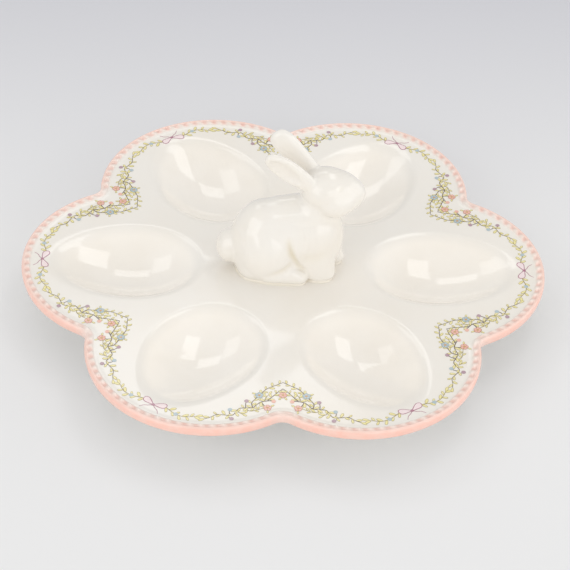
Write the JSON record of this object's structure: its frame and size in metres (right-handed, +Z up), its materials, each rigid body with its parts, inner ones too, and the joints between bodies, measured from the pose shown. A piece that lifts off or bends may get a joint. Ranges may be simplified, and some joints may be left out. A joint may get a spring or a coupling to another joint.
{
  "type": "deviled egg platter",
  "caption": "Lobed glazed ceramic platter with egg-shaped wells around a sitting rabbit figure, a scalloped painted rim and a printed flower border, for serving halved eggs.",
  "frame": {"origin": "centre of the foot ring, on the table", "axes": "+Z up, +X through a lobe tip and the way the rabbit faces"},
  "size_m": [0.24, 0.2226, 0.0926],
  "materials": {
    "glaze": "glossy cream-white glaze, pink painted on the rim",
    "figure_glaze": "glossy white glaze",
    "slip_glaze": "glossy glaze pooled over slip",
    "spray_print": "fired transfer print",
    "bow_print": "fired transfer print"
  },
  "bodies": {
    "root": {"platter": "glaze", "slip_bed": "slip_glaze", "bunny_body": "figure_glaze", "bunny_head": "figure_glaze", "bunny_ear_right": "figure_glaze", "bunny_ear_left": "figure_glaze", "bunny_tail": "figure_glaze", "decal_spray_1": "spray_print", "decal_spray_2": "spray_print", "decal_spray_3": "spray_print", "decal_spray_4": "spray_print", "decal_spray_5": "spray_print", "decal_spray_6": "spray_print", "decal_bow_1": "bow_print", "decal_bow_2": "bow_print", "decal_bow_3": "bow_print", "decal_bow_4": "bow_print", "decal_bow_5": "bow_print", "decal_bow_6": "bow_print"}
  },
  "joints": []
}
